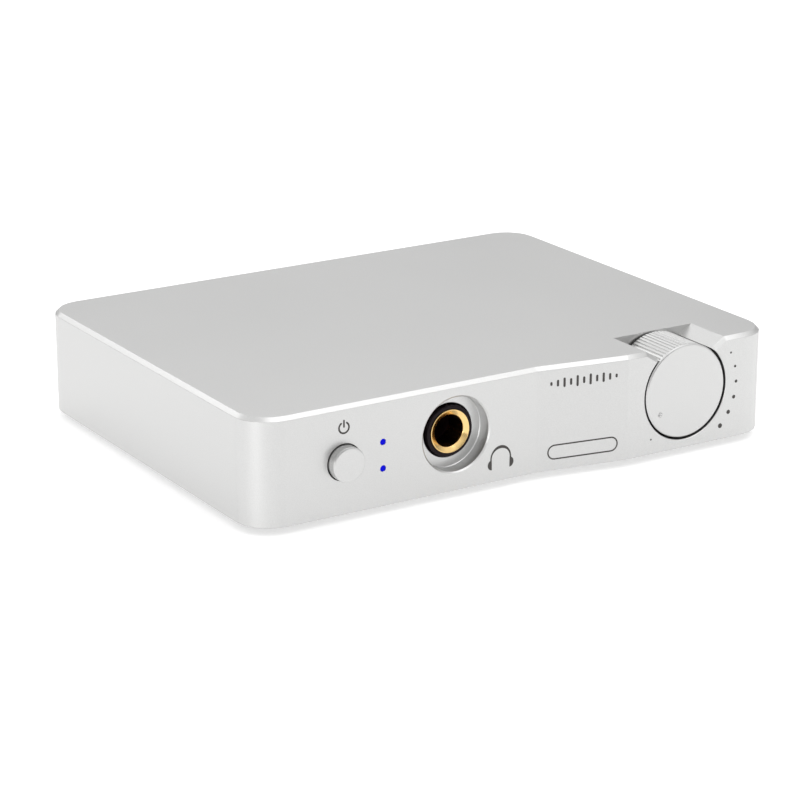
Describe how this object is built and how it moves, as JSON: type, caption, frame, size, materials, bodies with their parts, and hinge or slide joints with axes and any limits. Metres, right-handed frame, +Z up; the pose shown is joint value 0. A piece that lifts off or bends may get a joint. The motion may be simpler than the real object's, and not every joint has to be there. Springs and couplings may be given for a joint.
{
  "type": "desktop dac",
  "caption": "Low metal box that turns digital audio into line and headphone signals, with a knurled volume knob, power button, headphone jack and rear sockets.",
  "frame": {"origin": "centre of the footprint, on the surface that the feet stand on", "axes": "+X to the right along the front, +Y to the back, +Z up; the front with the knob faces -Y"},
  "size_m": [0.121, 0.102, 0.0236],
  "materials": {
    "anodised_aluminium": "bead blasted, clear anodised, satin",
    "knob_aluminium": "bead blasted and turned, clear anodised",
    "foot_rubber": "matt",
    "screw_steel": "zinc plated",
    "board_laminate": "solder mask",
    "brass": "turned",
    "steel": "plated",
    "black_plastic": "moulded, fine grain",
    "white_plastic": "moulded",
    "red_plastic": "moulded",
    "orange_plastic": "moulded",
    "blue_light": "lit lens",
    "gold_plate": "polished gold plate",
    "capacitor_sleeve": "shrink sleeve",
    "chip_plastic": "moulded"
  },
  "bodies": {
    "case": {"case_shell": "anodised_aluminium", "bottom_plate": "anodised_aluminium", "rear_panel": "anodised_aluminium", "foot_front_left": "foot_rubber", "foot_front_right": "foot_rubber", "foot_back_left": "foot_rubber", "foot_back_right": "foot_rubber", "bottom_screw_front_left": "screw_steel", "bottom_screw_front_right": "screw_steel", "bottom_screw_back_left": "screw_steel", "bottom_screw_back_right": "screw_steel", "rear_screw_left": "screw_steel", "rear_screw_right": "screw_steel", "main_board": "board_laminate", "standoff_1": "brass", "board_screw_1": "screw_steel", "standoff_2": "brass", "board_screw_2": "screw_steel", "standoff_3": "brass", "board_screw_3": "screw_steel", "standoff_4": "brass", "board_screw_4": "screw_steel", "volume_pot_body": "steel", "volume_pot_nut": "steel", "power_switch_spring": "steel", "power_switch_body": "black_plastic", "led_holder": "black_plastic", "light_pipe_lower": "blue_light", "led_lower": "blue_light", "light_pipe_upper": "blue_light", "led_upper": "blue_light", "headphone_jack_body": "black_plastic", "headphone_jack_ferrule": "gold_plate", "jack_ring_contact": "gold_plate", "jack_tip_contact": "gold_plate", "usb_shell": "steel", "usb_tongue": "white_plastic", "phono_block": "black_plastic", "coax_in_barrel": "gold_plate", "coax_in_insulator": "orange_plastic", "line_out_right_barrel": "gold_plate", "line_out_right_insulator": "red_plastic", "line_out_left_barrel": "gold_plate", "line_out_left_insulator": "white_plastic", "optical_housing": "black_plastic", "capacitor_1": "capacitor_sleeve", "capacitor_2": "capacitor_sleeve", "capacitor_3": "capacitor_sleeve", "usb_chip": "chip_plastic", "converter_chip": "chip_plastic", "amplifier_chip": "chip_plastic", "clock_crystal": "steel"},
    "volume_knob": {"volume_knob": "knob_aluminium", "knob_insert": "brass", "volume_pot_shaft": "steel"},
    "power_button": {"power_button": "knob_aluminium", "power_switch_plunger": "white_plastic"},
    "optical_shutter": {"optical_shutter": "black_plastic"}
  },
  "joints": [
    {"name": "volume_turn", "type": "hinge", "parent": "case", "child": "volume_knob", "pos_m": [0.0381, -0.04532, 0.0137], "axis": [0, 1, 0], "range_deg": [-15, 257]},
    {"name": "power_press", "type": "slide", "parent": "case", "child": "power_button", "axis": [0, 1, 0], "range_m": [0, 0.0015], "stiffness_N_per_m": 800, "deforming": ["power_switch_spring"]},
    {"name": "optical_shutter_swing", "type": "hinge", "parent": "case", "child": "optical_shutter", "pos_m": [0.0315, 0.04272, 0.01445], "axis": [-1, 0, 0], "range_deg": [0, 85], "stiffness_Nm_per_rad": 0.0002}
  ]
}
